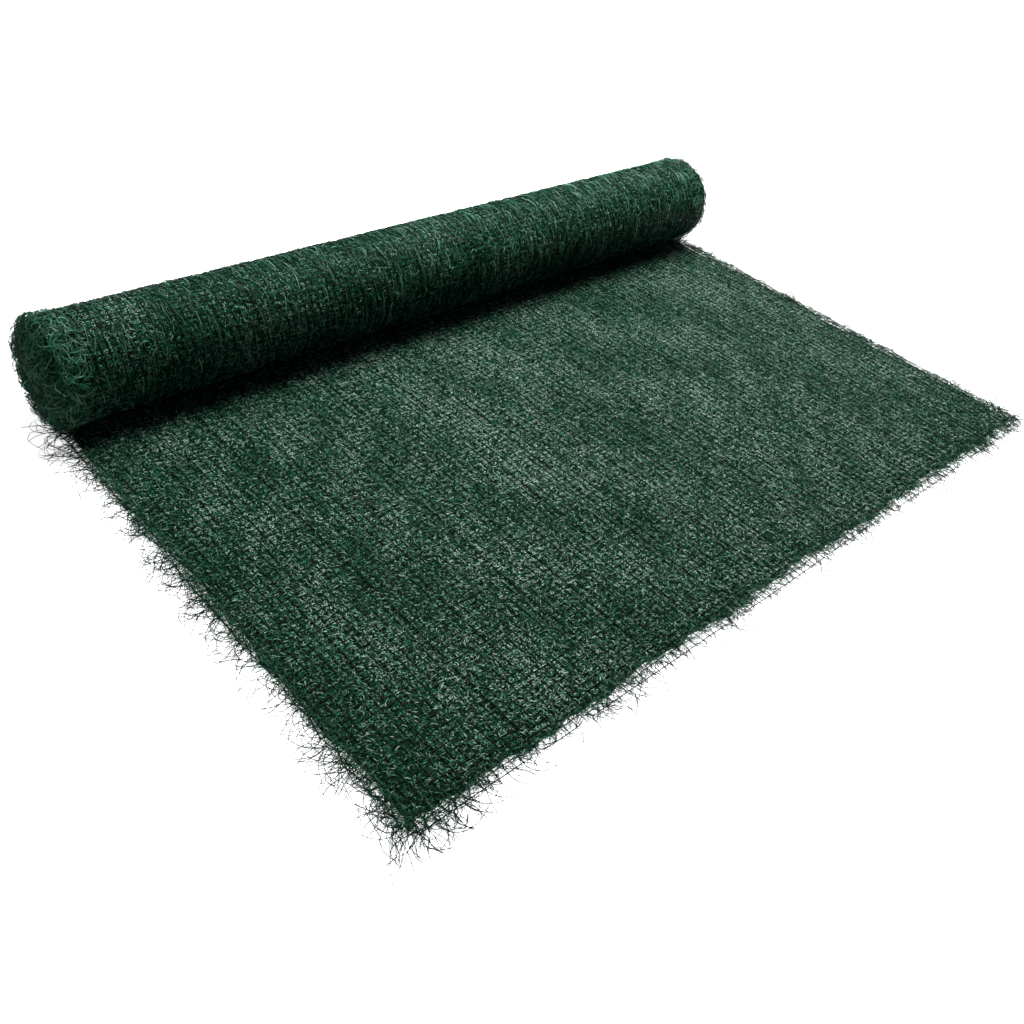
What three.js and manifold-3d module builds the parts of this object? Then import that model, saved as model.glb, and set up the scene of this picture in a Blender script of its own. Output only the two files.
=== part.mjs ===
// A roll of turf reinforcement mat, with its loose end laid out on the ground in front of it.
//
// The mat is one sheet: crimped plastic fibres sewn between two nets. It is wound from the inside out, and its
// outermost turn runs down the back of the roll, under it, and forward over the ground. Seen from the end, the
// section is therefore one spiral with a straight tail. Through most of the width the turns press against each
// other and the roll is solid. At both ends they part a little, so the spiral shows as a groove between turns.
// Rows of stitches hold the fibres between the nets, and each row pulls a shallow channel into the laid mat's top.
//
// Millimetres. X runs along the roll, -Y is the way the mat is laid, and Z is up. The origin is on the ground, in
// the middle of the part's outline seen from above.
import * as THREE from "three";
import { mergeVertices } from "three/addons/utils/BufferGeometryUtils.js";
import Module from "manifold-3d";

// Driving dimensions.
const MAT_WIDTH = 2000; // edge to edge of the nets
const MAT_THICKNESS = 10;
const LAID_LENGTH = 1240; // from the line where the roll touches the ground to the cut edge
const ROLL_RADIUS = 125; // from the roll's centre to its outermost turn, where that turn lies on the ground
const EYE_RADIUS = 20; // the narrowest part of the hollow that the winding bar leaves
const TURN_PITCH = MAT_THICKNESS; // wound tight, one turn stands on the next
const END_GROOVE_WIDTH = 2; // how far neighbouring turns part at the ends of the roll
const END_GROOVE_DEPTH = 12; // and how far in from the ends they do so
const NIP_GAP = 1; // the wedge between roll and laid mat is closed by fibres where it is narrower than this
const STITCH_PITCH = 45; // across the mat, from one row of stitches to the next
const STITCH_MARGIN = 20; // the outermost rows lie no nearer to the mat's sides than this
const CHANNEL_WIDTH = 14;
const CHANNEL_DEPTH = 3.5;

const SEGMENTS_PER_TURN = 36;
const TURN = 2 * Math.PI;

// The spiral. The winding angle is 0 where the mat leaves the ground and grows up the back of the roll, over the
// top and down the front. It gives the radius of the mat's outer face; the inner face is one pitch further in.
const outerRadius = (angle) => ROLL_RADIUS - (TURN_PITCH * angle) / TURN;
const INNER_END_ANGLE = (TURN * (ROLL_RADIUS - TURN_PITCH - EYE_RADIUS)) / TURN_PITCH;

// A point of the section, as (distance along -Y to +Y, height), at a winding angle and a radius.
function onSpiral(angle, radius) {
  return new THREE.Vector2(radius * Math.sin(angle), ROLL_RADIUS - radius * Math.cos(angle));
}

// Points along the spiral between two winding angles, at a distance outside the mat's outer face.
function spiralPoints(fromAngle, toAngle, outside) {
  const steps = Math.ceil((Math.abs(toAngle - fromAngle) / TURN) * SEGMENTS_PER_TURN);
  const points = [];
  for (let i = 0; i <= steps; i++) {
    const angle = fromAngle + ((toAngle - fromAngle) * i) / steps;
    points.push(onSpiral(angle, outerRadius(angle) + outside));
  }
  return points;
}

// The winding angle, just short of one turn, where the roll's face stands NIP_GAP over the laid mat.
function nipAngle() {
  const restingRadius = ROLL_RADIUS - TURN_PITCH;
  return TURN - Math.acos(1 - NIP_GAP / restingRadius);
}

// Where the open wedge between the roll and the laid mat ends, as a point on the roll's face.
const nipPoint = () => onSpiral(nipAngle(), outerRadius(nipAngle()));

// The whole section: along the ground, round the outside of the roll, and back over the laid mat, with the eye.
function matSection() {
  const frontBottom = new THREE.Vector2(-LAID_LENGTH, 0);
  const frontTop = new THREE.Vector2(-LAID_LENGTH, MAT_THICKNESS);
  const outside = spiralPoints(0, nipAngle(), 0);
  const nip = new THREE.Vector2(nipPoint().x, MAT_THICKNESS);
  const section = new THREE.Shape([frontBottom, ...outside, nip, frontTop]);
  const eye = spiralPoints(INNER_END_ANGLE, INNER_END_ANGLE - TURN, -TURN_PITCH);
  section.holes.push(new THREE.Path(eye));
  return section;
}

// The groove between the turns, from the nip to the inner end of the mat. It runs a little past both, so that it
// opens into the wedge and into the eye.
function grooveSection() {
  const overrun = TURN / SEGMENTS_PER_TURN / 4;
  const start = nipAngle() - overrun;
  const end = INNER_END_ANGLE + overrun;
  const half = END_GROOVE_WIDTH / 2;
  return new THREE.Shape([...spiralPoints(start, end, -half), ...spiralPoints(end, start, half)]);
}

const wasm = await Module();
wasm.setup();

// A closed extrusion of a section, as a solid that can be cut.
function solidOf(section, length, from) {
  const extruded = new THREE.ExtrudeGeometry(section, { depth: length, bevelEnabled: false, steps: 1 });
  extruded.translate(0, 0, from);
  extruded.deleteAttribute("normal");
  extruded.deleteAttribute("uv");
  const merged = mergeVertices(extruded, 1e-4);
  return new wasm.Manifold(
    new wasm.Mesh({
      numProp: 3,
      vertProperties: merged.attributes.position.array,
      triVerts: new Uint32Array(merged.index.array),
    }),
  );
}

// Places of the stitch rows across the mat, the same on both sides of its middle.
function stitchRows() {
  const count = Math.floor((MAT_WIDTH - 2 * STITCH_MARGIN) / STITCH_PITCH) + 1;
  return Array.from({ length: count }, (_, row) => (row - (count - 1) / 2) * STITCH_PITCH);
}

// The cutter for one channel: a long prism over the laid mat, from outside the cut edge to just short of the nip.
function stitchChannel(row) {
  const overcut = NIP_GAP / 2; // it stands this far over the mat and out of its cut edge, clear of the roll
  const halfWidth = (CHANNEL_WIDTH / 2) * (1 + overcut / CHANNEL_DEPTH);
  const valley = new THREE.Shape([
    new THREE.Vector2(0, MAT_THICKNESS - CHANNEL_DEPTH),
    new THREE.Vector2(halfWidth, MAT_THICKNESS + overcut),
    new THREE.Vector2(-halfWidth, MAT_THICKNESS + overcut),
  ]);
  const start = -LAID_LENGTH - overcut;
  const length = nipPoint().x - NIP_GAP - start;
  return solidOf(valley, length, start).rotate([0, 90, 0]).translate([0, 0, row]);
}

// The solid's surface as a geometry to draw.
function geometryOf(solid) {
  const mesh = solid.getMesh();
  const geometry = new THREE.BufferGeometry();
  geometry.setAttribute("position", new THREE.BufferAttribute(mesh.vertProperties, 3));
  geometry.setIndex(new THREE.BufferAttribute(mesh.triVerts, 1));
  geometry.computeVertexNormals();
  return geometry;
}

// The mat, made along its own Z axis: the full section, less the spiral groove at each end and the channels.
function makeMat() {
  const overcut = 1; // the cutter stands this far out of the end face
  const grooveLength = END_GROOVE_DEPTH + overcut;
  const body = solidOf(matSection(), MAT_WIDTH, -MAT_WIDTH / 2);
  const groove = grooveSection();
  const leftGroove = solidOf(groove, grooveLength, -MAT_WIDTH / 2 - overcut);
  const rightGroove = solidOf(groove, grooveLength, MAT_WIDTH / 2 - END_GROOVE_DEPTH);
  const channels = wasm.Manifold.union(stitchRows().map(stitchChannel));
  const sewn = body.subtract(leftGroove).subtract(rightGroove).subtract(channels);
  const material = new THREE.MeshStandardMaterial({ color: 0x17402f, roughness: 0.55, metalness: 0 });
  const mat = new THREE.Mesh(geometryOf(sewn), material);
  mat.name = "mat";
  return mat;
}

const mat = makeMat();
mat.rotation.set(0, Math.PI / 2, Math.PI / 2); // the section's width becomes Y, its height Z and its length X

// The origin is midway between the cut edge and the back of the roll.
const backOfRoll = Math.max(...spiralPoints(0, TURN, 0).map((point) => point.x));
mat.position.y = (LAID_LENGTH - backOfRoll) / 2;

const turfMatRoll = new THREE.Group();
turfMatRoll.add(mat);
export default turfMatRoll;
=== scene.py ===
# %% [markdown]
# # A roll of turf reinforcement mat
#
# The real thing is a light, springy web of crimped green plastic fibres, sewn between two black-green
# nets and wound into a roll two metres long. Its loose end lies flat in front of the roll. In this lesson
# the plain CAD solid gives every size, and we dress it with thousands of real fibres, two nets, rows of
# stitches and a ragged fringe. Almost everything is made with numpy arrays, because a loop in plain
# Python over a million points is slow.

# %% Load the frame
import math

import bpy
import numpy as np
from mathutils import Matrix, Vector


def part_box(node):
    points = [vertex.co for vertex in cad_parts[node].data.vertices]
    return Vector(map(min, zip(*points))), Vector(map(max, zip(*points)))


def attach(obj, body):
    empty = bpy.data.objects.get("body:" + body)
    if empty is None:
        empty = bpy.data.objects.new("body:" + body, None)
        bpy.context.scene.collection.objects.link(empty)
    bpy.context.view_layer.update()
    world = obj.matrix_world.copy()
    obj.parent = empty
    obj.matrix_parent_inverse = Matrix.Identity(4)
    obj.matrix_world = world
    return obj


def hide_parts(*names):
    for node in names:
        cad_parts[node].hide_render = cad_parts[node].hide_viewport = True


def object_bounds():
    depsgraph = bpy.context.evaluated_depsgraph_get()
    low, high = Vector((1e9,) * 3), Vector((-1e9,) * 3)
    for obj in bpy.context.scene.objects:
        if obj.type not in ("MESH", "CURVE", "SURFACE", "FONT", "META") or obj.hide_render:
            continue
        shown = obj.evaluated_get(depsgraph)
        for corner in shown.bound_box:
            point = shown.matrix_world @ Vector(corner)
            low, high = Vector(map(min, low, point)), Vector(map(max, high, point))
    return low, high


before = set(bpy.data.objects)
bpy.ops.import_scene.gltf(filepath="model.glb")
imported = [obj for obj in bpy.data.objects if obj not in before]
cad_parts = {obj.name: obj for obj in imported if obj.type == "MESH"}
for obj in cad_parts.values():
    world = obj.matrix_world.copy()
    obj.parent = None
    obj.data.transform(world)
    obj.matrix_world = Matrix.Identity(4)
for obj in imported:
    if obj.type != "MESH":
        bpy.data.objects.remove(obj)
cad_bounds = [list(corner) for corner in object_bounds()]
mat_low, mat_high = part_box("mat")
print("CAD box", cad_bounds)

# %% [markdown]
# ## The mat's own sizes
#
# The mat is one sheet with a simple section: it lies flat for a stretch, then winds backwards, up and
# over, into a spiral. So each point of it has a place across the width (x) and a distance along the mat,
# and two short functions turn that into a place in space. We name the few sizes that are not in the frame
# here, in metres.

# %% Sizes of the mat and its winding
MAT_THICKNESS = 0.010
ROLL_RADIUS = 0.125
EYE_RADIUS = 0.020
LAID_LENGTH = 1.240
WEB_INSET_SIDE = 0.012
WEB_INSET_END = 0.024
STITCH_PITCH = 0.045
STITCH_MARGIN = 0.020
CHANNEL_WIDTH = 0.014
CHANNEL_DEPTH = 0.0035
NIP_GAP = 0.001  # the wedge under the roll is closed where it is narrower than this
TURN = 2 * math.pi

half_width = mat_high.x
web_half = half_width - WEB_INSET_SIDE
cut_edge_y = mat_low.y
web_edge_y = cut_edge_y + WEB_INSET_END
roll_y = cut_edge_y + LAID_LENGTH
inner_end_angle = TURN * (ROLL_RADIUS - MAT_THICKNESS - EYE_RADIUS) / MAT_THICKNESS
resting_radius = ROLL_RADIUS - MAT_THICKNESS
nip_angle = TURN - math.acos(1 - NIP_GAP / resting_radius)
row_count = math.floor(2 * (half_width - STITCH_MARGIN) / STITCH_PITCH) + 1
stitch_rows = (np.arange(row_count) - (row_count - 1) / 2) * STITCH_PITCH
print("turns in the roll", round(inner_end_angle / TURN, 2), "and rows of stitches", row_count)


def channel_dip(x):
    """How far the stitches pull the web down at a place across the mat."""
    steps = (x - stitch_rows[0]) / STITCH_PITCH
    from_row = np.abs(steps - np.round(steps)) * STITCH_PITCH
    return CHANNEL_DEPTH * np.clip(1 - 2 * from_row / CHANNEL_WIDTH, 0, 1)


def winding_radius(angle):
    """Radius of the mat's outer face at a winding angle, which is 0 where the mat leaves the ground."""
    return ROLL_RADIUS - MAT_THICKNESS * angle / TURN


def on_roll(x, angle, height):
    """Points that stand a height over the roll's outer face, at a winding angle."""
    radius = winding_radius(angle) + height
    y = roll_y + radius * np.sin(angle)
    z = ROLL_RADIUS - radius * np.cos(angle)
    return np.stack([x, y, z], axis=-1)


def on_ground(x, y, z):
    """Points given by their three coordinates."""
    return np.stack([x, y, z], axis=-1)

# %% [markdown]
# ## A tool that makes many thin fibres at once
#
# A fibre could be a curve with a bevel, but thousands of curves are slow to convert. A closed tube with
# three sides and pointed tips looks round from a step away and needs few faces. All fibres of one piece
# share the same pattern of faces, so we work the pattern out once and repeat it by adding an offset. Each
# fibre also gets its own small cell in a texture map, so that the colours can be baked without two fibres
# sharing a spot.

# %% The face pattern of one fibre
SIDES = 3


def fibre_pattern(points):
    """Quads, triangles and their map corners for one fibre with so many points along it, tips included."""
    rings = points - 2
    quads, quad_uv, tips, tip_uv = [], [], [], []
    last = 1 + rings * SIDES
    for ring in range(rings):
        for side in range(SIDES):
            after = (side + 1) % SIDES
            here = 1 + ring * SIDES
            u0, u1 = (ring + 1) / (points - 1), (ring + 2) / (points - 1)
            v0, v1 = side / SIDES, (side + 1) / SIDES
            if ring == 0:
                tips.append([0, here + after, here + side])
                tip_uv.append([(0, (v0 + v1) / 2), (u0, v1), (u0, v0)])
            if ring == rings - 1:
                tips.append([last, here + side, here + after])
                tip_uv.append([(1, (v0 + v1) / 2), (u0, v0), (u0, v1)])
            else:
                quads.append([here + side, here + after, here + SIDES + after, here + SIDES + side])
                quad_uv.append([(u0, v0), (u0, v1), (u1, v1), (u1, v0)])
    quads = np.array(quads, int).reshape(-1, 4)
    quad_uv = np.array(quad_uv, float).reshape(-1, 4, 2)
    return quads, quad_uv, np.array(tips), np.array(tip_uv, float)


def tube_vertices(paths, radii):
    """Vertices of all the tubes: a tip, three points round each inner point of the path, and a tip."""
    count, points, _ = paths.shape
    along = np.gradient(paths, axis=1)
    along /= np.linalg.norm(along, axis=2, keepdims=True) + 1e-12
    helper = np.zeros((count, 1, 3))
    main = np.abs((paths[:, -1] - paths[:, 0]))
    helper[np.arange(count), 0, np.argmin(main, axis=1)] = 1
    first = np.cross(along, np.broadcast_to(helper, paths.shape))
    first /= np.linalg.norm(first, axis=2, keepdims=True) + 1e-12
    second = np.cross(along, first)
    turns = np.arange(SIDES) * TURN / SIDES
    ring = (
        first[:, 1:-1, None, :] * np.cos(turns)[None, None, :, None]
        + second[:, 1:-1, None, :] * np.sin(turns)[None, None, :, None]
    )
    ring = paths[:, 1:-1, None, :] + ring * radii[:, 1:-1, None, None]
    middle = ring.reshape(count, (points - 2) * SIDES, 3)
    return np.concatenate([paths[:, :1], middle, paths[:, -1:]], axis=1)


# %% [markdown]
# Blender can take whole arrays in one call. That is far faster than adding faces one by one, and the
# result is the same ordinary mesh. Each fibre's tint goes into a colour attribute, which the material
# reads.

# %% Build one mesh from many fibres
def mesh_from_faces(name, vertices, faces_by_size, uv_by_size, tint):
    """A mesh from arrays: vertices, faces grouped by corner count, map corners, and a tint per vertex."""
    mesh = bpy.data.meshes.new(name)
    mesh.vertices.add(len(vertices))
    mesh.vertices.foreach_set("co", vertices.astype(np.float32).ravel())
    corners = np.concatenate([faces.ravel() for faces in faces_by_size])
    sizes = np.concatenate([np.full(len(faces), faces.shape[1]) for faces in faces_by_size])
    starts = np.concatenate([[0], np.cumsum(sizes)[:-1]])
    mesh.loops.add(len(corners))
    mesh.loops.foreach_set("vertex_index", corners.astype(np.int32))
    mesh.polygons.add(len(sizes))
    mesh.polygons.foreach_set("loop_start", starts.astype(np.int32))
    mesh.polygons.foreach_set("use_smooth", np.ones(len(sizes), bool))
    layer = mesh.uv_layers.new(name="OFBake")
    map_corners = np.concatenate([uv.reshape(-1) for uv in uv_by_size])
    layer.data.foreach_set("uv", map_corners.astype(np.float32))
    colours = mesh.color_attributes.new("tint", "FLOAT_COLOR", "POINT")
    rgba = np.column_stack([tint, np.ones(len(tint))])
    colours.data.foreach_set("color", rgba.astype(np.float32).ravel())
    mesh.update(calc_edges=True)
    mesh.validate()
    return mesh


def add_piece(name, mesh, material):
    """Links a piece, gives it its material and slot, and lets it ride on the mat's body."""
    piece = bpy.data.objects.new(name, mesh)
    bpy.context.scene.collection.objects.link(piece)
    mesh.materials.append(material)
    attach(piece, "root")
    mesh.calc_loop_triangles()
    print(name, len(mesh.loop_triangles), "triangles")
    return piece


def fibres_piece(name, paths, radii, tints, material):
    """One piece of many fibres. Paths are (fibre, point, xyz), radii (fibre, point), tints (fibre, rgb)."""
    count, points, _ = paths.shape
    quads, quad_uv, tips, tip_uv = fibre_pattern(points)
    vertices = tube_vertices(paths, radii)
    per_fibre = vertices.shape[1]
    numbers = np.arange(count)
    offsets = (numbers * per_fibre)[:, None, None]
    columns = math.ceil(math.sqrt(count))
    cell = np.stack([numbers % columns, numbers // columns], axis=-1)[:, None, None, :]
    margin = 0.1  # share of a cell that stays empty on each side
    place = lambda uv: (cell + margin + uv[None] * (1 - 2 * margin)) / columns
    mesh = mesh_from_faces(
        name,
        vertices.reshape(-1, 3),
        [(quads[None] + offsets).reshape(-1, 4), (tips[None] + offsets).reshape(-1, 3)],
        [place(quad_uv), place(tip_uv)],
        np.repeat(tints, per_fibre, axis=0),
    )
    return add_piece(name, mesh, material)


# %% [markdown]
# ## Colours
#
# The mat is deep bottle green. Under the light single fibres show grey-green glints, because the plastic
# is smooth, and whole patches look greyer or greener where the web is thinner or thicker. So a fibre's
# tint comes from a random draw and from a slow patch pattern made by summing a few waves. Its colour
# sits in the vertices, and the shader adds gloss. The glints are painted highlights on top of that: a
# share of the fibres, more in the greyer patches, get a grey-green tint in their vertices.

# %% Tints for fibres
rng = np.random.default_rng(17)
DEEP_GREEN = np.array([0.004, 0.042, 0.021])
CLEAR_GREEN = np.array([0.014, 0.140, 0.076])
# Painted highlight: the grey-green that stands in for light glinting on the smooth fibres.
PAINTED_GLINT_GREY = np.array([0.340, 0.470, 0.400])
NET_BLACK = np.array([0.001, 0.005, 0.003])
# Painted shade: the near-black between the fibre bits, for the shadow deep in the web.
PAINTED_GAP_SHADE = (0.0005, 0.005, 0.0025, 1)
ROLL_SHADE_CAST = np.array([0.66, 1.06, 0.90])  # painted shade: fibres on the roll are cast darker and greener than on the laid mat
GLINT_SHARE = 0.24
GLINT_PATCHINESS = 0.40
PATCH_WAVE_COUNT = 14
PATCH_FINENESS = 17.0

patch_waves = rng.normal(size=(PATCH_WAVE_COUNT, 2)) * PATCH_FINENESS
patch_phases = rng.uniform(0, TURN, PATCH_WAVE_COUNT)


def patches(x, y):
    """A slow random pattern over the mat, mostly between -1 and 1."""
    total = 0
    for (kx, ky), phase in zip(patch_waves, patch_phases):
        total = total + np.sin(kx * x + ky * y + phase)
    return total / math.sqrt(len(patch_waves))


def fibre_tints(x, y, glints=GLINT_SHARE):
    """Each fibre's colour. A share of them get a painted grey-green glint, more in the greyer patches of
    the web.
    """
    count = len(x)
    patch = np.clip(patches(x, y), -1, 1)
    is_glint = rng.uniform(0, 1, count) < glints * (1 + GLINT_PATCHINESS * patch)
    # Painted highlight: glint fibres are mixed towards the grey-green, and the rest stay nearly pure green.
    grey = np.where(is_glint, rng.uniform(0.40, 1.0, count), rng.uniform(0.0, 0.14, count))
    deep = np.clip(rng.normal(0.50, 0.35, count), 0, 1)[:, None]
    green = DEEP_GREEN * deep + CLEAR_GREEN * (1 - deep)
    return green * (1 - grey[:, None]) + PAINTED_GLINT_GREY * grey[:, None]

# %% [markdown]
# ## Materials
#
# A fibre is extruded plastic: it takes its tint from its vertices, and the Principled shader gives it a
# satin gloss. A little noise in the roughness keeps the glints from all being alike. The nets are blacker
# and duller.

# %% Fibre and net materials
ROUGHNESS_GRAIN = 160


def new_material(name):
    """A new material, its node tree and its Principled shader."""
    material = bpy.data.materials.new(name)
    material.use_nodes = True
    return material, material.node_tree, material.node_tree.nodes["Principled BSDF"]


def tinted_plastic(name, roughness, roughness_spread, specular):
    """Plastic with its colour from the tint attribute and a roughness that varies along the fibres."""
    material, tree, shader = new_material(name)
    tint = tree.nodes.new("ShaderNodeVertexColor")
    tint.layer_name = "tint"
    tree.links.new(tint.outputs["Color"], shader.inputs["Base Color"])
    place = tree.nodes.new("ShaderNodeTexCoord")
    noise = tree.nodes.new("ShaderNodeTexNoise")
    noise.inputs["Scale"].default_value = ROUGHNESS_GRAIN
    noise.inputs["Detail"].default_value = 1
    spread = tree.nodes.new("ShaderNodeMapRange")
    spread.inputs["To Min"].default_value = roughness - roughness_spread
    spread.inputs["To Max"].default_value = roughness + roughness_spread
    tree.links.new(place.outputs["Object"], noise.inputs["Vector"])
    tree.links.new(noise.outputs["Fac"], spread.inputs["Value"])
    tree.links.new(spread.outputs["Result"], shader.inputs["Roughness"])
    shader.inputs["Specular IOR Level"].default_value = specular
    return material


fibre_plastic = tinted_plastic("crimped_green_fibre", 0.30, 0.12, 0.30)
dull_fibre_plastic = tinted_plastic("loose_green_fibre", 0.55, 0.10, 0.06)
net_plastic = tinted_plastic("black_green_net", 0.5, 0.1, 0.05)
thread_plastic = tinted_plastic("dark_sewing_thread", 0.65, 0.1, 0.05)

# %% [markdown]
# The body under the fibres needs the same look at a distance, without a million more tubes. Each cell of
# a Voronoi pattern holds one short bar, turned by the cell's own random colour. The bar's height goes to
# a bump, and its mask to the colour: between the bars lies a near-black painted shade, and the brightest
# bars take the painted grey-green glint. Three layers with different cells overlap into a dense mass of
# short bits of fibre. The body's vertices say how grey each patch is, so the pattern changes in step with
# the fibres that stand on it.

# %% Web material: bars in Voronoi cells
# Each layer: its shift, then the size of a cell and the length and width of a bar, in metres.
BAR_LAYERS = [
    ((0, 0, 0), 0.0062, 0.0048, 0.0011),
    ((31.4, 7.7, 0), 0.0071, 0.0060, 0.0012),
    ((-12.9, 44.1, 0), 0.0055, 0.0045, 0.0010),
]
BAR_CURVATURE = 0.9
CREST_SHARPNESS = 1.6
GREYNESS_STRENGTH = 0.45
WEB_BUMP = 0.003


def math_node(tree, operation, first, second=None, clamp=False):
    """Adds a maths node fed with numbers or other nodes' outputs, and returns its output."""
    node = tree.nodes.new("ShaderNodeMath")
    node.operation = operation
    node.use_clamp = clamp
    for socket, value in zip(node.inputs, (first, second)):
        if value is None:
            continue
        if isinstance(value, (int, float)):
            socket.default_value = value
        else:
            tree.links.new(value, socket)
    return node.outputs[0]


def bar_layer(tree, place, shift, cell_size, bar_length, bar_width):
    """A mask with one randomly turned bar of fibre in each Voronoi cell: 0 beside it, 1 on its crest."""
    moved = tree.nodes.new("ShaderNodeVectorMath")
    moved.operation = "MULTIPLY_ADD"
    moved.inputs[1].default_value = (1 / cell_size,) * 3
    moved.inputs[2].default_value = shift
    tree.links.new(place, moved.inputs[0])
    cells = tree.nodes.new("ShaderNodeTexVoronoi")
    cells.voronoi_dimensions = "2D"
    cells.inputs["Scale"].default_value = 1
    tree.links.new(moved.outputs[0], cells.inputs["Vector"])
    local = tree.nodes.new("ShaderNodeVectorMath")
    local.operation = "SUBTRACT"
    tree.links.new(moved.outputs[0], local.inputs[0])
    tree.links.new(cells.outputs["Position"], local.inputs[1])
    pick = tree.nodes.new("ShaderNodeSeparateColor")
    tree.links.new(cells.outputs["Color"], pick.inputs[0])
    turn = tree.nodes.new("ShaderNodeVectorRotate")
    turn.rotation_type = "Z_AXIS"
    tree.links.new(local.outputs[0], turn.inputs["Vector"])
    tree.links.new(math_node(tree, "MULTIPLY", pick.outputs[0], TURN), turn.inputs["Angle"])
    parts = tree.nodes.new("ShaderNodeSeparateXYZ")
    tree.links.new(turn.outputs[0], parts.inputs[0])
    squared = math_node(tree, "MULTIPLY", parts.outputs[0], parts.outputs[0])
    bend = math_node(tree, "MULTIPLY", squared, BAR_CURVATURE)
    beside = math_node(tree, "SUBTRACT", parts.outputs[1], bend)
    across = math_node(tree, "DIVIDE", beside, bar_width / cell_size)
    along = math_node(tree, "DIVIDE", parts.outputs[0], bar_length / cell_size)
    across_squared = math_node(tree, "MULTIPLY", across, across)
    along_squared = math_node(tree, "MULTIPLY", along, along)
    squares = math_node(tree, "ADD", across_squared, along_squared)
    crest = math_node(tree, "SUBTRACT", 1.0, squares, clamp=True)
    return crest, pick.outputs[1]


def web_material():
    """Dense web of fibre bits, mapped by the place across and along the mat."""
    material, tree, shader = new_material("fibre_web")
    place = tree.nodes.new("ShaderNodeUVMap")
    place.uv_map = "mat_place"
    layers = [bar_layer(tree, place.outputs[0], *sizes) for sizes in BAR_LAYERS]
    height, tone = layers[0]
    for crest, random in layers[1:]:
        above = math_node(tree, "GREATER_THAN", crest, height)
        mixed = tree.nodes.new("ShaderNodeMix")
        tree.links.new(above, mixed.inputs["Factor"])
        tree.links.new(tone, mixed.inputs["A"])
        tree.links.new(random, mixed.inputs["B"])
        tone = mixed.outputs["Result"]
        height = math_node(tree, "MAXIMUM", height, crest)
    colours = tree.nodes.new("ShaderNodeValToRGB")
    ramp = colours.color_ramp
    ramp.elements[0].color = (*(DEEP_GREEN * 0.5), 1)
    # Painted highlight: the top of the ramp is the grey-green glint.
    ramp.elements[1].color = (*(PAINTED_GLINT_GREY * 1.25), 1)
    ramp.elements.new(0.40).color = (*(DEEP_GREEN * 1.2), 1)
    ramp.elements.new(0.66).color = (*CLEAR_GREEN, 1)
    ramp.elements.new(0.78).color = (*(CLEAR_GREEN * 0.6 + PAINTED_GLINT_GREY * 0.4), 1)
    patch = tree.nodes.new("ShaderNodeVertexColor")
    patch.layer_name = "tint"
    from_middle = math_node(tree, "SUBTRACT", patch.outputs["Color"], 0.5)
    shift = math_node(tree, "MULTIPLY", from_middle, GREYNESS_STRENGTH)
    tree.links.new(math_node(tree, "ADD", tone, shift, clamp=True), colours.inputs[0])
    shown = tree.nodes.new("ShaderNodeMix")
    shown.data_type = "RGBA"
    # Painted shade fills the space between the bars.
    shown.inputs["A"].default_value = PAINTED_GAP_SHADE
    tree.links.new(math_node(tree, "MULTIPLY", height, CREST_SHARPNESS, clamp=True), shown.inputs["Factor"])
    tree.links.new(colours.outputs[0], shown.inputs["B"])
    tree.links.new(shown.outputs["Result"], shader.inputs["Base Color"])
    bump = tree.nodes.new("ShaderNodeBump")
    bump.inputs["Distance"].default_value = WEB_BUMP
    tree.links.new(height, bump.inputs["Height"])
    tree.links.new(bump.outputs[0], shader.inputs["Normal"])
    shader.inputs["Roughness"].default_value = 0.45
    shader.inputs["Specular IOR Level"].default_value = 0.02
    return material


web_plastic = web_material()

# %% [markdown]
# ## The web's body
#
# The dense middle of the mat is one strip, wound like the real one: flat first, then round and round to
# the eye. It is a little thinner than the CAD solid, because the fibres stand on it, and it dips along
# each row of stitches as the solid does. At the ends of the roll the inner turns stand out a little, so
# each end bulges and its rim is round.

# %% Stations along the mat
LAID_STATIONS = 42
OUTER_TURN_STEPS = 48
INNER_TURN_STEPS = 24


def turns_of_winding(first, last, per_turn):
    """Evenly spaced winding angles, so many for each full turn."""
    return np.linspace(first, last, 1 + round((last - first) / TURN * per_turn))


def distance_at(angle):
    """Distance along the mat from its cut edge, at a winding angle."""
    return LAID_LENGTH + (ROLL_RADIUS - MAT_THICKNESS / 2) * angle - MAT_THICKNESS * angle**2 / (2 * TURN)


front_steps = web_edge_y + np.array([0, 0.004, 0.009])
flat_y = np.concatenate([front_steps, np.linspace(web_edge_y + 0.015, roll_y, LAID_STATIONS)[:-1]])
outer_turn = turns_of_winding(0, TURN, OUTER_TURN_STEPS)
inner_turns = turns_of_winding(TURN, inner_end_angle, INNER_TURN_STEPS)
mat_length = float(distance_at(inner_end_angle))
print("mat length, flat", round(mat_length, 2), "m")

# %% [markdown]
# The web has no clean edge: it thins out over a few centimetres until only the net is left. A solid strip
# can't fade, so it ends early and thin, on a wandering line, and loose fibres that grow fewer carry on
# from there. Where the front line draws back, the net's squares lie open.

# %% Ragged edges
BODY_INSET = 0.002
EDGE_SLOPE = 0.022
EDGE_ROUGHNESS = 0.0022
END_BULGE = 0.030
RIM_ROUNDING = 0.034
ragged = rng.normal(0, EDGE_ROUGHNESS, (3, 200))


def edge_wander(along, side):
    """How far the strip's edge lies in from the line where the fibres end, in metres."""
    waves = 0.004 * np.sin(11 * along + side) + 0.003 * np.sin(37 * along + 2.1 * side)
    return BODY_INSET + waves + ragged[side, : len(along)]


def front_line(x):
    """How far the web's front edge lies behind its nominal line. It comes and goes in slow waves."""
    return 0.004 * np.sin(13 * x + 1) + 0.0035 * np.sin(37 * x) + 0.003 * np.sin(97 * x + 2)


def end_reach(radius):
    """How far from the middle of the roll its end stands: bulging in the centre, rounded off at the rim."""
    return web_half + END_BULGE - RIM_ROUNDING * np.clip(radius / ROLL_RADIUS, 0, 1) ** 5


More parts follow.
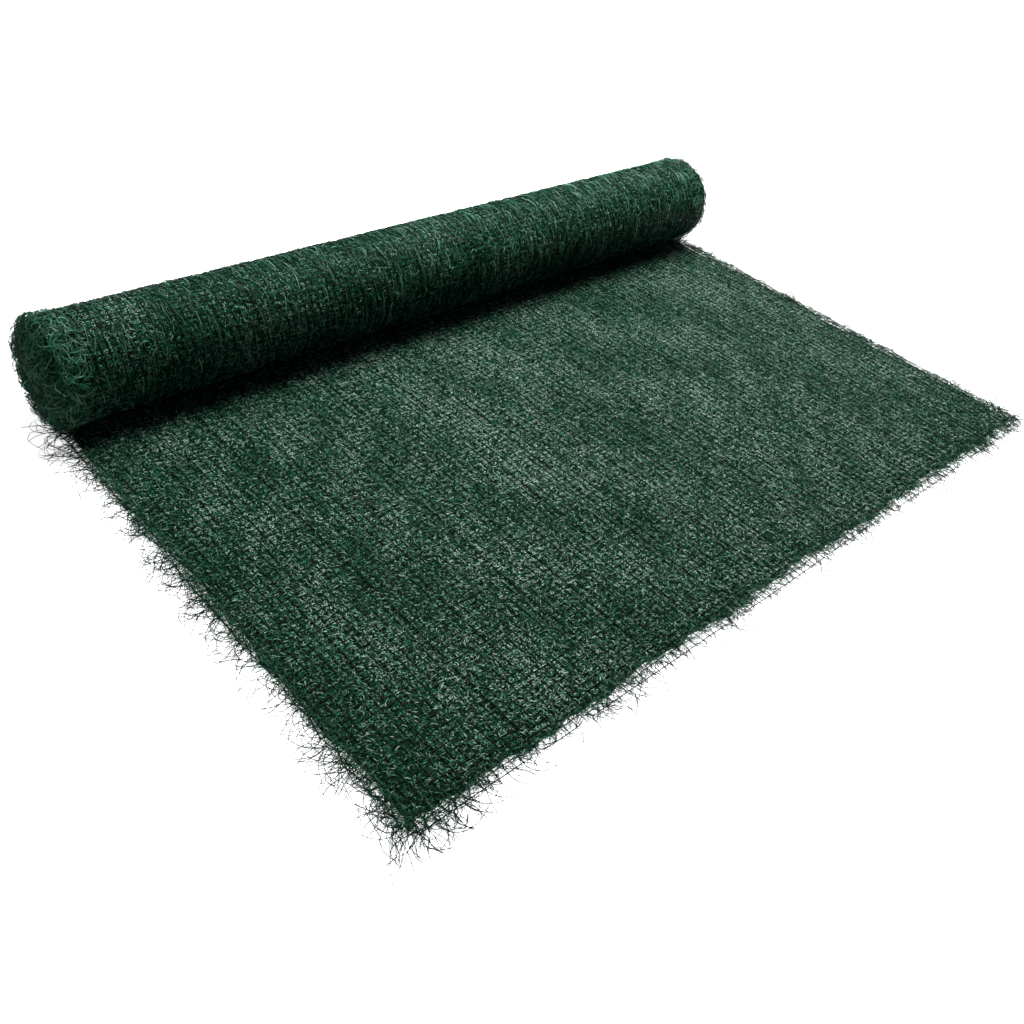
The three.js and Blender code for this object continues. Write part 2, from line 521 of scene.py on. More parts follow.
def turn_edges(angle):
    """The mat's two edges where it is wound, at each winding angle."""
    reach = end_reach(winding_radius(angle)) + 0.003 * np.sin(0.83 * angle) + 0.0015 * np.sin(5.1 * angle)
    return -reach, reach


print("the roll's end reaches", round(float(end_reach(EYE_RADIUS)), 3), "at the eye")
print("and", round(float(end_reach(ROLL_RADIUS)), 3), "at the rim")

# %% Build one strip
EDGE_COLUMNS = np.array([0, 0.004, 0.009, 0.015, 0.022])
EDGE_ZONE = 0.036
PATCH_GREYNESS = 0.22
OTHER_FACE_SHIFT = 3.0  # keeps the pattern of the two faces apart


def channel_columns():
    """Fixed places across the mat: the lips and the bottom of each channel, and halfway to the next."""
    offsets = np.array([-CHANNEL_WIDTH / 2, 0, CHANNEL_WIDTH / 2, STITCH_PITCH / 2])
    places = (stitch_rows[:, None] + offsets).ravel()
    return places[np.abs(places) < web_half - EDGE_ZONE]


def strip_faces(rows, columns):
    """Quads of a closed strip whose lower and upper faces are grids of the same size."""
    index = np.arange(rows * columns).reshape(rows, columns)
    below, above = index, index + rows * columns
    face = lambda a, b, c, d: np.stack([a, b, c, d], axis=-1).reshape(-1, 4)
    return np.concatenate(
        [
            face(below[:-1, :-1], below[1:, :-1], below[1:, 1:], below[:-1, 1:]),
            face(above[:-1, :-1], above[:-1, 1:], above[1:, 1:], above[1:, :-1]),
            face(below[:-1, 0], above[:-1, 0], above[1:, 0], below[1:, 0]),
            face(below[:-1, -1], below[1:, -1], above[1:, -1], above[:-1, -1]),
            face(below[0, :-1], below[0, 1:], above[0, 1:], above[0, :-1]),
            face(below[-1, :-1], above[-1, :-1], above[-1, 1:], below[-1, 1:]),
        ]
    )


def strip(name, along, edges, middle_columns, both_faces, taper, greyness=0.5):
    """A closed strip. Edges are its sides at each station, and both_faces gives the points of its faces."""
    left, right = edges[0][:, None], edges[1][:, None]
    middle = np.tile(middle_columns, (len(along), 1))
    x = np.concatenate([left + EDGE_COLUMNS, middle, right - EDGE_COLUMNS[::-1]], axis=1)
    slope = np.clip(np.minimum(x - left, right - x) / EDGE_SLOPE, 0, 1) * taper[:, None]
    outer, inner = both_faces(x, slope)
    rows, columns = x.shape
    vertices = np.concatenate([outer.reshape(-1, 3), inner.reshape(-1, 3)])
    faces = strip_faces(rows, columns)
    u = np.tile(np.linspace(0, 1, columns), rows)
    v = np.repeat((along - along[0]) / (along[-1] - along[0]), columns)
    bake = np.stack([np.concatenate([u * 0.48, 0.52 + u * 0.48]), np.tile(v, 2)], axis=-1)
    patch = np.clip(greyness + PATCH_GREYNESS * patches(x, cut_edge_y + along[:, None]), 0, 1).ravel()
    tint = np.tile(patch, 2)[:, None] * np.ones(3)
    mesh = mesh_from_faces(name, vertices, [faces], [bake[faces]], tint)
    place = mesh.uv_layers.new(name="mat_place")
    other_face = np.repeat([0.0, OTHER_FACE_SHIFT], rows * columns)
    metres = np.stack([vertices[:, 0] + other_face, np.tile(np.repeat(along, columns), 2)], axis=-1)
    place.data.foreach_set("uv", metres[faces].astype(np.float32).ravel())
    return add_piece(name, mesh, web_plastic)

# %% [markdown]
# The laid part and the outermost turn are one strip, with fine steps because they are seen. The inner
# turns only show at the two ends, so they are a second strip with few steps across.

# %% The laid strip with the outer turn, and the inner turns
LAID_TOP_SKIN = 0.0034
LAID_UNDER_SKIN = 0.0015
ROLL_SKIN = 0.0030
TURN_SKIN = 0.0012
THIN_EDGE = 0.0016
ROLL_DIP = 0.4  # share of the channels' depth that is left where the mat is wound
FRONT_FADE = 0.09
LIFT_ANGLE = 0.5
BLEND_LENGTH = 0.10
# Patch levels for the body. Below 0.5 the web's colours shift darker and lose glints. The wound part is set
# lower than the laid part, as painted shade and fewer painted glints on the roll.
LAID_GREYNESS = 0.5
ROLL_SHADED_GREYNESS = 0.18


def laid_and_outer_faces(x, slope):
    """The lower and upper face of the laid strip and, behind it, of the roll's outermost turn."""
    flat = len(flat_y)
    laid_x, roll_x = x[:flat], x[flat:]
    fade = np.clip(1 - (flat_y - web_edge_y) / FRONT_FADE, 0, 1)[:, None]
    y = flat_y[:, None] + (BODY_INSET + front_line(laid_x)) * fade
    crown = MAT_THICKNESS - LAID_TOP_SKIN - THIN_EDGE - channel_dip(laid_x)
    under = on_ground(laid_x, y, np.full_like(laid_x, LAID_UNDER_SKIN))
    over = on_ground(laid_x, y, THIN_EDGE + crown * slope[:flat])
    angle = outer_turn[:, None] + 0 * roll_x
    lifted = np.clip(angle / LIFT_ANGLE, 0, 1)
    skin = LAID_UNDER_SKIN + (ROLL_SKIN - LAID_UNDER_SKIN + ROLL_DIP * channel_dip(roll_x)) * lifted
    outside = on_roll(roll_x, angle, -skin)
    inside = on_roll(roll_x, angle, -MAT_THICKNESS + TURN_SKIN)
    return np.concatenate([under, outside]), np.concatenate([over, inside])


def outer_strip():
    """The laid part and the roll's outermost turn in one strip."""
    along = np.concatenate([flat_y - cut_edge_y, distance_at(outer_turn)])
    laid = along[: len(flat_y)]
    roll_left, roll_right = turn_edges(outer_turn)
    blend = np.clip((laid - (LAID_LENGTH - BLEND_LENGTH)) / BLEND_LENGTH, 0, 1) ** 2
    left = (-web_half + edge_wander(laid, 1)) * (1 - blend) + roll_left[0] * blend
    right = (web_half - edge_wander(laid, 2)) * (1 - blend) + roll_right[0] * blend
    edges = np.concatenate([left, roll_left]), np.concatenate([right, roll_right])
    taper = np.clip((along - along[0]) / EDGE_SLOPE, 0, 1)
    wound = np.clip((along[:, None] - LAID_LENGTH) / BLEND_LENGTH, 0, 1)
    greyness = LAID_GREYNESS - (LAID_GREYNESS - ROLL_SHADED_GREYNESS) * wound
    middle = channel_columns()
    return strip("web_laid_and_outer_turn", along, edges, middle, laid_and_outer_faces, taper, greyness)


def inner_turn_faces(x, slope):
    """The outer and inner face of the wound turns. They have full thickness up to their edges."""
    angle = inner_turns[:, None] + 0 * x
    return on_roll(x, angle, -TURN_SKIN), on_roll(x, angle, -MAT_THICKNESS + TURN_SKIN)


def inner_strip():
    """All the turns inside the outermost one, down to the eye."""
    along = distance_at(inner_turns)
    middle = np.linspace(-web_half + EDGE_ZONE, web_half - EDGE_ZONE, 4)
    even = np.ones(len(along))
    edges = turn_edges(inner_turns)
    # Greyness 0 paints the inner turns, seen at the roll's ends, darkest: painted shade.
    return strip("web_inner_turns", along, edges, middle, inner_turn_faces, even, greyness=0.0)


web_body = outer_strip()
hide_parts("mat")
inner_strip()

# %% [markdown]
# ## Fibre crests on the laid mat
#
# A crimped fibre dives in and out of the web, so what shows is a crowd of short arches. Making the arches
# alone, with both ends sunk in the body, gives the same sight for a fraction of the faces of a whole
# fibre. Each arch gets a random heading, length, height and sideways bend, and follows the dip of the
# channels. Near the edges there are fewer and fewer of them, which makes the web fade.

# %% Arches
CREST_RADIUS = 0.00085
CREST_HEIGHT = (0.0016, 0.0042)
CREST_BEND = 0.17
EDGE_SINK = 0.0045
FADE_WIDTH = 0.030
FIBRE_FLOOR = 0.0014  # the lowest that the middle of a fibre lies, so none dips into the ground


def arches(count, points, length, height, bend):
    """Local paths of arches: along and across their heading, and up. The ends dip below the surface."""
    t = np.linspace(-0.5, 0.5, points)[None, :]
    span = rng.uniform(*length, (count, 1))
    rise = rng.uniform(*height, (count, 1))
    along = span * t
    across = span * rng.normal(0, bend, (count, 1)) * (1 - 4 * t**2)
    up = rise * np.cos(math.pi * t * 1.15)
    return along, across, up


def crest_radii(count, radius, points):
    """Radii that differ from fibre to fibre and shrink towards the tips."""
    scale = rng.normal(radius, radius * 0.2, (count, 1)).clip(radius * 0.5, radius * 1.6)
    taper = np.ones(points)
    taper[[1, -2]] = 0.85
    return scale * taper[None, :]


def scattered(count, y_range):
    """Random places on the laid mat, fewer near its edges, and how far in from the edge each one is."""
    x = rng.uniform(-half_width, half_width, 2 * count)
    y = rng.uniform(*y_range, 2 * count)
    inside = np.minimum(web_half - np.abs(x), y - web_edge_y - front_line(x))
    kept = rng.uniform(0, 1, 2 * count) < np.clip(0.75 + inside / FADE_WIDTH, 0, 1)
    return x[kept][:count], y[kept][:count], inside[kept][:count]


def laid_crests(name, count, points, length, y_range):
    """Arches of fibre over one stretch of the laid mat."""
    x, y, inside = scattered(count, y_range)
    heading = rng.uniform(0, TURN, count)
    along, across, up = arches(count, points, length, CREST_HEIGHT, CREST_BEND)
    cos, sin = np.cos(heading)[:, None], np.sin(heading)[:, None]
    px = x[:, None] + along * cos - across * sin
    py = y[:, None] + along * sin + across * cos
    sink = EDGE_SINK * np.clip(1 - inside / EDGE_SLOPE, 0, 1)[:, None]
    base = MAT_THICKNESS - LAID_TOP_SKIN - 0.0008 + rng.uniform(0.0, 0.0014, (count, 1))
    height = base - sink - channel_dip(px) + up
    paths = on_ground(px, py, np.maximum(height, FIBRE_FLOOR))
    radii = crest_radii(count, CREST_RADIUS, points)
    return fibres_piece(name, paths, radii, fibre_tints(x, y), fibre_plastic)


laid_bands = np.linspace(web_edge_y - 0.020, roll_y - 0.03, 4)
for number in range(3):
    band = (laid_bands[number], laid_bands[number + 1])
    laid_crests(f"laid_fibres_{number + 1}", 7000, 4, (0.010, 0.019), band)
    laid_crests(f"laid_fibre_bits_{number + 1}", 6000, 3, (0.007, 0.012), band)

# %% [markdown]
# ## Fibres on the roll
#
# On the roll the web is pulled tight, so longer fibres lie round it, mostly along the winding, and catch
# the light as long streaks. Short arches fill the space between. One function makes both, and the wilder
# fibres at the rims too. A step along the winding is a step in angle there, and a step aside is a step
# across the mat.

# %% Streaks and short arches round the roll
def roll_fibres(name, count, points, length, height, bend, lean, x_range, glints, radius=0.0008):
    """Fibres round the roll's outer face. Lean is how far they stray from the winding direction."""
    t = np.linspace(-0.5, 0.5, points)[None, :]
    x = rng.uniform(*x_range, count)
    angle = rng.uniform(0.05, nip_angle - 0.02, count)
    heading = rng.normal(0, lean, count)[:, None]
    span = rng.uniform(*length, (count, 1))
    arc = rng.normal(0, bend, (count, 1)) * (1 - 4 * t**2)
    crimp = rng.normal(0, bend * 0.4, (count, 1)) * np.sin(TURN * t)
    along, side = span * t, span * (arc + crimp)
    px = x[:, None] + along * np.sin(heading) + side * np.cos(heading)
    px = np.clip(px, -half_width + 0.008, half_width - 0.008)
    step = (along * np.cos(heading) - side * np.sin(heading)) / ROLL_RADIUS
    around = np.clip(angle[:, None] + step, 0.0, nip_angle)
    rise = rng.uniform(*height, (count, 1))
    lift = rise * np.cos(math.pi * t * 1.1) - ROLL_SKIN - 0.0006 - ROLL_DIP * channel_dip(px)
    paths = on_roll(px, around, lift)
    paths[..., 2] = np.maximum(paths[..., 2], FIBRE_FLOOR)
    # Glints is the share of fibres that get a painted grey-green glint.
    tints = fibre_tints(x, roll_y + angle * ROLL_RADIUS, glints)
    # Painted shade: the roll's fibres are darkened by a random share and cast greener, for the shade on the
    # wound mat.
    tints = tints * rng.uniform(0.40, 0.95, (count, 1)) * ROLL_SHADE_CAST
    return fibres_piece(name, paths, crest_radii(count, radius, points), tints, fibre_plastic)


whole_roll = (-web_half + 0.01, web_half - 0.01)
left_rim = (-web_half - 0.004, -web_half + 0.05)
right_rim = (web_half - 0.05, web_half + 0.004)
roll_fibres("roll_streaks", 2800, 7, (0.035, 0.085), (0.0034, 0.0056), 0.05, 0.12, whole_roll, 0.24, 0.0006)
roll_fibres("roll_crests", 7300, 4, (0.012, 0.026), (0.0024, 0.0048), 0.16, 1.0, whole_roll, 0.13)
roll_fibres("left_rim_fibres", 420, 6, (0.020, 0.055), (0.0040, 0.0090), 0.30, 1.4, left_rim, 0.12)
roll_fibres("right_rim_fibres", 320, 6, (0.020, 0.055), (0.0040, 0.0090), 0.30, 1.4, right_rim, 0.12)

# %% [markdown]
# ## The nets and the sewing
#
# Two extruded nets hold the web. Past the cut edge and the sides they show as open squares. Each strand
# is a thin tube that wanders slightly, as a soft net does. The upper net lies on the laid mat; the lower
# one runs under it and round the outside of the roll.

# %% Net strands
STRAND_RADIUS = 0.0011
NET_PITCH = 0.0173
CROSS_PITCH = 0.0145
NET_LEVEL = MAT_THICKNESS - 0.0020


def wander(count, points, size, waves):
    """Smooth random sideways shifts along strands."""
    t = np.linspace(0, 1, points)[None, :]
    shift = np.zeros((count, points))
    for wave in waves:
        shift += np.sin(TURN * (wave * t + rng.uniform(0, 1, (count, 1)))) * rng.normal(0, size, (count, 1))
    return shift


def strands(name, paths):
    """One piece of net strands, kept just above the ground."""
    count, points, _ = paths.shape
    paths[..., 2] = np.maximum(paths[..., 2], STRAND_RADIUS * 1.1)
    tints = np.tile(NET_BLACK, (count, 1)) * rng.uniform(0.7, 1.5, (count, 1))
    return fibres_piece(name, paths, np.full((count, points), STRAND_RADIUS), tints, net_plastic)


def net_along(name, level, ends_y, ragged_end, dip):
    """Strands along the mat, with points closer together near the cut edge, where the free ends curl."""
    points = 26
    x = np.arange(-half_width + 0.004, half_width - 0.003, NET_PITCH)[:, None]
    t = np.linspace(0, 1, points)[None, :]
    start = ends_y[0] + np.abs(rng.normal(0, ragged_end, (len(x), 1))).clip(0, 0.03) - ragged_end
    y = start + (ends_y[1] - start) * t**1.9
    free = np.clip(1 - (y - cut_edge_y) / 0.045, 0, 1.4)
    loose = 1 + 2.5 * (np.abs(x) > half_width - NET_PITCH)
    px = x + wander(len(x), points, 0.0010, (3, 7, 13)) * loose
    px = px + rng.normal(0, 0.004, (len(x), 1)) * free**2
    sag = dip * (channel_dip(px) + 0.0042 * np.clip(free, 0, 1))
    height = level + wander(len(x), points, 0.0004, (9, 17)) - sag
    return strands(name, np.stack([px, y, height], axis=-1))


def net_across(name, level, sunk, first_y, last_y, points):
    """Strands across the mat, with their points closer together near both sides."""
    y = np.arange(first_y, last_y, CROSS_PITCH)[:, None]
    t = np.linspace(0, 1, points)[None, :]
    left = -half_width + rng.normal(0, 0.006, (len(y), 1)).clip(-0.014, 0.014)
    right = half_width + rng.normal(0, 0.006, (len(y), 1)).clip(-0.014, 0.014)
    x = left + (right - left) * (1 - np.cos(math.pi * t)) / 2
    free = np.clip((np.abs(x) - web_half) / 0.02, 0, 1.5)
    py = y + wander(len(y), points, 0.0012, (4, 9, 15)) + rng.normal(0, 0.004, (len(y), 1)) * free
    near_side = np.clip((np.abs(x) - web_half + 0.03) / 0.03, 0, 1)
    height = level - sunk * (1 - near_side) - 0.6 * level * near_side
    height = height + wander(len(y), points, 0.0003, (9, 17))
    return strands(name, np.stack([x, py, height], axis=-1))


def torn_rows(name, level, rows):
    """The net's outermost cross strands, torn into stretches."""
    points, paths = 14, []
    t = np.linspace(0, 1, points)
    for y in rows:
        x = -half_width + rng.uniform(0, 0.05)
        while x < half_width - 0.05:
            last = min(x + rng.uniform(0.08, 0.50), half_width)
            sag = rng.normal(0, 0.002) * np.sin(math.pi * t)
            sag = sag + rng.normal(0, 0.003) * np.clip(t * 8 - 7, 0, 1)
            paths.append(np.stack([x + (last - x) * t, y + sag, level + 0 * t], axis=-1))
            x = last + rng.uniform(0.004, 0.05)
    return strands(name, np.array(paths))


open_rows = cut_edge_y + 0.006 + CROSS_PITCH * np.arange(2)
first_full_row = cut_edge_y + 0.006 + CROSS_PITCH * 2
under_roll = roll_y - 0.035
net_along("top_net_along", NET_LEVEL, (cut_edge_y, under_roll), 0.006, 1.0)
net_across("top_net_across", NET_LEVEL, 0.0013, first_full_row, under_roll, 44)
torn_rows("top_net_torn_rows", 0.0034, open_rows)
net_along("lower_net_along", 0.0014, (cut_edge_y + 0.020, roll_y), 0.010, 0.0)
net_across("lower_net_across", 0.0014, 0.0, first_full_row + 0.004, roll_y, 24)

# %% The lower net round the roll
def roll_net():
    """The strands round the roll, and the strands along it."""
    x = np.arange(-web_half + 0.014, web_half - 0.012, NET_PITCH)
    points = 28
    angle = np.linspace(0.0, nip_angle, points)[None, :].repeat(len(x), axis=0)
    px = x[:, None] + wander(len(x), points, 0.0012, (2, 5, 9))
    height = -0.0016 + wander(len(x), points, 0.0005, (6, 11)) - ROLL_DIP * channel_dip(px)
    paths = on_roll(px, angle, height)
    paths[..., 2] = np.maximum(paths[..., 2], STRAND_RADIUS)
    tints = np.tile(NET_BLACK, (len(x), 1))
    radii = np.full((len(x), points), STRAND_RADIUS)
    fibres_piece("roll_net_along", paths, radii, tints, net_plastic)
    rows = np.arange(0.02, nip_angle, CROSS_PITCH / ROLL_RADIUS)
    points = 48
    t = np.linspace(-1, 1, points)[None, :]
    px = (web_half - 0.006) * t.repeat(len(rows), axis=0)
    angle = rows[:, None] + wander(len(rows), points, 0.008, (4, 9, 15))
    height = -0.0030 + wander(len(rows), points, 0.0004, (9, 17))
    paths = on_roll(px, np.clip(angle, 0, nip_angle), height)
    paths[..., 2] = np.maximum(paths[..., 2], STRAND_RADIUS)
    tints = np.tile(NET_BLACK, (len(rows), 1))
    radii = np.full((len(rows), points), STRAND_RADIUS)
    fibres_piece("roll_net_across", paths, radii, tints, net_plastic)


roll_net()

# %% [markdown]
# Rows of stitches run the length of the mat, 45 mm apart, along the bottoms of the channels. The thread
# dips into the web and comes up again once every stitch, so only short lengths of it show. One low arch
# for each stitch is enough, because the rest of the thread is hidden.

# %% Stitch rows
STITCH_STEP = 0.014
STITCH_SHOWN = 0.011
THREAD_RADIUS = 0.0009


def stitches():
    """One low arch of thread for every stitch on the laid mat."""
    starts = np.arange(web_edge_y + 0.004, under_roll - STITCH_STEP, STITCH_STEP)
    x, y = (grid.ravel()[:, None] for grid in np.meshgrid(stitch_rows, starts))
    t = np.linspace(0, 1, 3)[None, :]
    px = x + 0.0008 * np.sin(23 * y + 40 * x) + 0 * t
    py = y + STITCH_SHOWN * t
    valley = MAT_THICKNESS - LAID_TOP_SKIN - CHANNEL_DEPTH
    pz = valley + 0.0022 * np.sin(math.pi * t) + 0 * y
    tints = np.tile(NET_BLACK, (len(x), 1))
    radii = np.full(px.shape, THREAD_RADIUS)
    return fibres_piece("stitch_rows", on_ground(px, py, pz), radii, tints, thread_plastic)


stitches()

# %% [markdown]
# ## The fringe
#
# Along the cut edges loose fibres stick out past the net in curls and wisps, longest on the left and at
# the corner, and short on the right. A filament is a path that walks outward while its heading turns,
# with its height above the ground drifting a little. Shorter fibres in the web's own colours lie over the
# web's edge and hide it.

# %% Filaments
REACH_X = 0.064  # the furthest that filaments reach past the CAD box, to the sides and to the front
REACH_Y = 0.045
FILAMENT_FLOOR = 0.0012
FRINGE_RADIUS = (0.00058, 0.00095)
FUZZ_RADIUS = (0.00040, 0.00080)
FUZZ_LENGTH = (0.010, 0.026)


def walk(start, heading, length, curl, points, wobble):
    """Paths that walk from a start point, turning as they go. Returns both coordinates of each point."""
    count = len(length)
    t = np.linspace(0, 1, points)[None, :]
    wave = np.sin(TURN * (t * rng.uniform(0.4, 1.2, (count, 1)) + rng.uniform(0, 1, (count, 1))))
    turn = heading[:, None] + curl[:, None] * t + wobble * wave
    step = length[:, None] / (points - 1)
    dx = np.cumsum(np.cos(turn) * step, axis=1)
    dy = np.cumsum(np.sin(turn) * step, axis=1)
    return start[:, :1] + dx - dx[:, :1], start[:, 1:] + dy - dy[:, :1]


def kept_within(start, path, low, high):
    """Shrinks each path towards its start so that it stays between two limits."""
    move = path - start
    room_up = (high - start) / np.maximum(move.max(axis=1, keepdims=True), 1e-6)
    room_down = (low - start) / np.minimum(move.min(axis=1, keepdims=True), -1e-6)
    return start + move * np.clip(np.minimum(room_up, room_down), 0, 1)


def filaments(name, start, heading, length, thickness, tints, points, curl, wobble):
    """Loose fibres near the ground."""
    count = len(length)
    x, y = walk(start, heading, length, rng.normal(0, curl, count), points, wobble)
    x = kept_within(start[:, :1], x, cad_bounds[0][0] - REACH_X, cad_bounds[1][0] + REACH_X)
    y = kept_within(start[:, 1:], y, cad_bounds[0][1] - REACH_Y, cad_bounds[1][1] + REACH_Y)
    t = np.linspace(0, 1, points)[None, :]
    begin = rng.uniform(0.0015, 0.006, (count, 1))
    end = np.abs(rng.normal(0, 0.004, (count, 1)))
    z = begin * (1 - t) + end * t + np.abs(rng.normal(0, 0.004, (count, 1))) * np.sin(math.pi * t)
    radius = rng.uniform(*thickness, (count, 1)) * np.linspace(1, 0.7, points)[None, :]
    paths = on_ground(x, y, np.maximum(z, FILAMENT_FLOOR))
    return fibres_piece(name, paths, radius, tints, dull_fibre_plastic)


def fringe(name, count, edge, outward, spread, lengths, shape):
    """Long thin filaments along one edge. Edge is two corners; their starts lie a little inside it."""
    first, second = np.array(edge[0]), np.array(edge[1])
    bunches = rng.uniform(0, 1, (count // 6, 1))
    t = np.clip(bunches[rng.integers(0, len(bunches), count)] + rng.normal(0, 0.008, (count, 1)), 0, 1)
    out = np.array([math.cos(outward), math.sin(outward)])
    start = first + (second - first) * t - out * rng.uniform(-0.010, 0.018, (count, 1))
    heading = outward + rng.normal(0, spread, count)
    length = lengths[0] + (lengths[1] - lengths[0]) * rng.beta(*shape, count)
    dark = rng.uniform(0, 1, (count, 1))
    tints = NET_BLACK * 1.3 * dark + DEEP_GREEN * (1 - dark)
    return filaments(name, start, heading, length, FRINGE_RADIUS, tints, 8, 2.3, 0.50)


def edge_fuzz(name, count, edge, outward, width):
    """Curly fibres in all directions over the strip where the web thins out."""
    first, second = np.array(edge[0]), np.array(edge[1])
    t = rng.uniform(0, 1, (count, 1))
    out = np.array([math.cos(outward), math.sin(outward)])
    start = first + (second - first) * t - out * np.abs(rng.normal(0, width, (count, 1))) + out * 0.009
    start[:, 1] += np.where(abs(out[1]) > 0.5, front_line(start[:, 0]), 0)
    heading = rng.uniform(0, TURN, count)
    length = rng.uniform(*FUZZ_LENGTH, count)
    tints = fibre_tints(start[:, 0], start[:, 1], 0.14) * rng.uniform(0.5, 1.1, (count, 1))
    return filaments(name, start, heading, length, FUZZ_RADIUS, tints, 5, 1.6, 0.4)


LEFT_OUT, RIGHT_OUT, FRONT_OUT = math.pi, 0.0, -math.pi / 2
left_edge = ((-web_half, web_edge_y), (-web_half, roll_y - 0.02))
right_edge = ((web_half, web_edge_y), (web_half, roll_y - 0.02))
front_edge = ((-web_half, web_edge_y), (web_half, web_edge_y))
corner_edge = ((-web_half, web_edge_y), (-web_half + 0.10, web_edge_y))
fringe("left_fringe", 760, left_edge, LEFT_OUT + 0.35, 0.90, (0.040, 0.150), (1.3, 1.9))
fringe("right_fringe", 460, right_edge, RIGHT_OUT, 0.7, (0.03, 0.100), (1.3, 2.4))
fringe("front_fringe", 620, front_edge, FRONT_OUT, 1.0, (0.04, 0.120), (1.2, 2.2))
fringe("corner_fringe", 90, corner_edge, -2.2, 0.9, (0.05, 0.140), (1.5, 1.8))
edge_fuzz("left_fuzz", 2400, left_edge, LEFT_OUT, 0.012)
edge_fuzz("right_fuzz", 1500, right_edge, RIGHT_OUT, 0.010)
edge_fuzz("front_fuzz", 2700, front_edge, FRONT_OUT, 0.013)

# %% [markdown]
# ## The ends of the roll
#
# Each end of the roll is a tangle: fibres cut through when the mat was trimmed spring out of every turn
# and curl over the end face, so the spiral only shows through as darker gaps. We start a fibre on a
# random turn and let it walk round in the plane of the end, drifting outwards.

# %% End tangle
TANGLE_LENGTH = (0.02, 0.07)
TANGLE_RADIUS = (0.0004, 0.0008)
TANGLE_SPRING = 0.020
TANGLE_FLOOR = 0.0009


def end_tangle(name, side, count):
    """Curly fibres over one end of the roll. Side is -1 for the left end and 1 for the right."""
    points = 7
    radius = np.sqrt(rng.uniform(0.024**2, 0.124**2, count))
    angle = rng.uniform(0, TURN, count)
    start = np.stack([radius * np.sin(angle), -radius * np.cos(angle)], axis=-1)
    heading = np.arctan2(start[:, 1], start[:, 0]) + math.pi / 2 + rng.normal(0, 0.9, count)
    length = rng.uniform(*TANGLE_LENGTH, count)
    y, z = walk(start, heading, length, rng.normal(0, 2.2, count), points, 0.5)
    limit = 0.1225 + rng.uniform(0, 0.008, (count, 1))
    shrink = np.minimum(1, limit / np.maximum(np.hypot(y, z), 1e-6))
    y, z = y * shrink, z * shrink
    t = np.linspace(0, 1, points)[None, :]
    spring = rng.uniform(0.0, TANGLE_SPRING, (count, 1)) * np.sin(math.pi * t)
    spring = spring + rng.normal(0, 0.005, (count, 1)) * t
    out = end_reach(np.hypot(y, z)) - 0.005 + spring
    height = np.maximum(z + ROLL_RADIUS, TANGLE_FLOOR)
    paths = np.stack([side * out, roll_y + y, height], axis=-1)
    thickness = rng.uniform(*TANGLE_RADIUS, (count, 1)) * np.ones((1, points))
    # Painted shade: the tangle on the ends is darkened further than the roll's face, for the shade on the
    # end faces.
    tints = fibre_tints(y[:, 0], z[:, 0], 0.12) * rng.uniform(0.15, 0.65, (count, 1)) * ROLL_SHADE_CAST
    return fibres_piece(name, paths, thickness, tints, dull_fibre_plastic)


end_tangle("left_end_tangle", -1, 1178)
end_tangle("right_end_tangle", 1, 884)

# %% [markdown]
# ## Stage, light and camera
#
# A pale floor that is bright enough to wash out, and soft lights from above, behind and the right, match
# a studio cut-out picture. Further from the object the floor glows more, so no grey horizon shows, and
# close to it a soft shadow remains. The camera stands at the front left, about 1.3 m up, and is tilted by
# 9 degrees.

# %% Floor and lights
FLOOR_HALF = 8.0
FLOOR_GLOW = {"From Min": 1.2, "From Max": 3.0, "To Min": 0.92, "To Max": 1.1}
WORLD_STRENGTH = 0.10


def add_floor():
    """A pale floor that glows, more so further out."""
    size = FLOOR_HALF
    corners = [(-size, -size, 0), (size, -size, 0), (size, size, 0), (-size, size, 0)]
    mesh = bpy.data.meshes.new("floor")
    mesh.from_pydata(corners, [], [(0, 1, 2, 3)])
    floor = bpy.data.objects.new("floor", mesh)
    bpy.context.scene.collection.objects.link(floor)
    material, tree, shader = new_material("pale_floor")
    shader.inputs["Base Color"].default_value = (0.85, 0.85, 0.85, 1)
    shader.inputs["Roughness"].default_value = 0.9
    shader.inputs["Emission Color"].default_value = (1, 1, 1, 1)
    place = tree.nodes.new("ShaderNodeTexCoord")
    distance = tree.nodes.new("ShaderNodeVectorMath")
    distance.operation = "LENGTH"
    glow = tree.nodes.new("ShaderNodeMapRange")
    for socket, value in FLOOR_GLOW.items():
        glow.inputs[socket].default_value = value
    tree.links.new(place.outputs["Object"], distance.inputs[0])
    tree.links.new(distance.outputs["Value"], glow.inputs["Value"])
    tree.links.new(glow.outputs["Result"], shader.inputs["Emission Strength"])
    mesh.materials.append(material)
    return floor


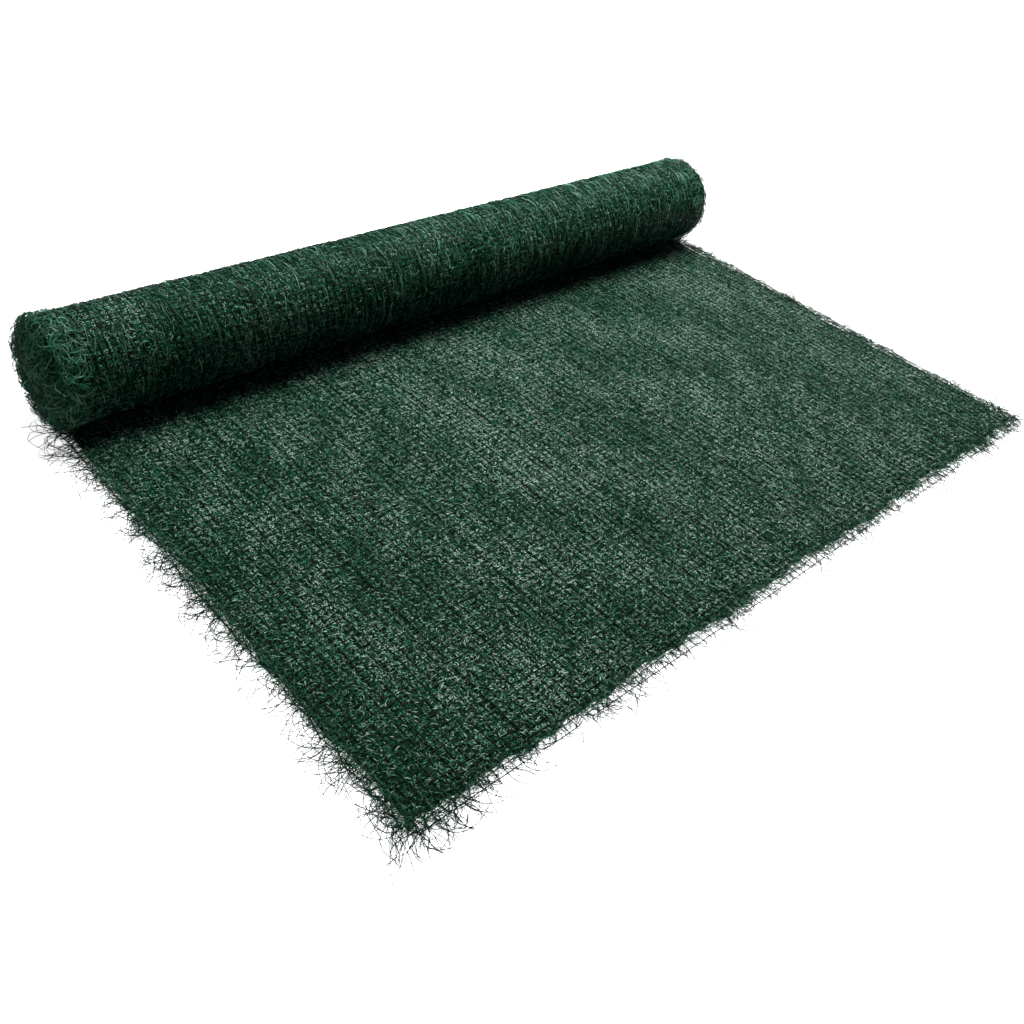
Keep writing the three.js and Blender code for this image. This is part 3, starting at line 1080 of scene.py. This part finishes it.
def add_area_light(name, place, target, size, power):
    """A soft rectangular light at a place, turned towards its target."""
    data = bpy.data.lights.new(name, "AREA")
    data.shape = "RECTANGLE"
    data.size, data.size_y = size
    data.energy = power
    light = bpy.data.objects.new(name, data)
    light.location = place
    light.rotation_euler = (Vector(target) - Vector(place)).to_track_quat("-Z", "Y").to_euler()
    bpy.context.scene.collection.objects.link(light)
    return light


add_floor()
add_area_light("soft_top_light", (0.5, 1.1, 3.1), (0, 0.1, 0), (2.4, 1.8), 295)
add_area_light("right_back_light", (2.6, 0.9, 1.8), (0.4, -0.1, 0), (2.0, 1.6), 70)
world = bpy.data.worlds.new("studio")
bpy.context.scene.world = world
world.use_nodes = True
world.node_tree.nodes["Background"].inputs["Color"].default_value = (1, 1, 1, 1)
world.node_tree.nodes["Background"].inputs["Strength"].default_value = WORLD_STRENGTH
bpy.context.scene.view_settings.view_transform = "Standard"

# %% Camera
CAMERA_PLACE = Vector((-1.5658, -1.2829, 1.3314))
CAMERA_YAW, CAMERA_PITCH, CAMERA_ROLL = (math.radians(a) for a in (47.846, 39.465, 9.155))
CAMERA_LENS = 35.55
SENSOR_WIDTH = 36.0


def add_camera():
    """The camera at the place solved from the photograph, with its small roll."""
    forward = Vector(
        (
            math.sin(CAMERA_YAW) * math.cos(CAMERA_PITCH),
            math.cos(CAMERA_YAW) * math.cos(CAMERA_PITCH),
            -math.sin(CAMERA_PITCH),
        )
    )
    level_right = Vector((math.cos(CAMERA_YAW), -math.sin(CAMERA_YAW), 0))
    level_up = level_right.cross(forward)
    right = level_right * math.cos(CAMERA_ROLL) + level_up * math.sin(CAMERA_ROLL)
    up = level_up * math.cos(CAMERA_ROLL) - level_right * math.sin(CAMERA_ROLL)
    data = bpy.data.cameras.new("photo_camera")
    data.lens = CAMERA_LENS
    data.sensor_width = SENSOR_WIDTH
    camera = bpy.data.objects.new("photo_camera", data)
    camera.matrix_world = Matrix((right, up, -forward)).transposed().to_4x4()
    camera.location = CAMERA_PLACE
    bpy.context.scene.collection.objects.link(camera)
    bpy.context.scene.camera = camera
    return camera


add_camera()
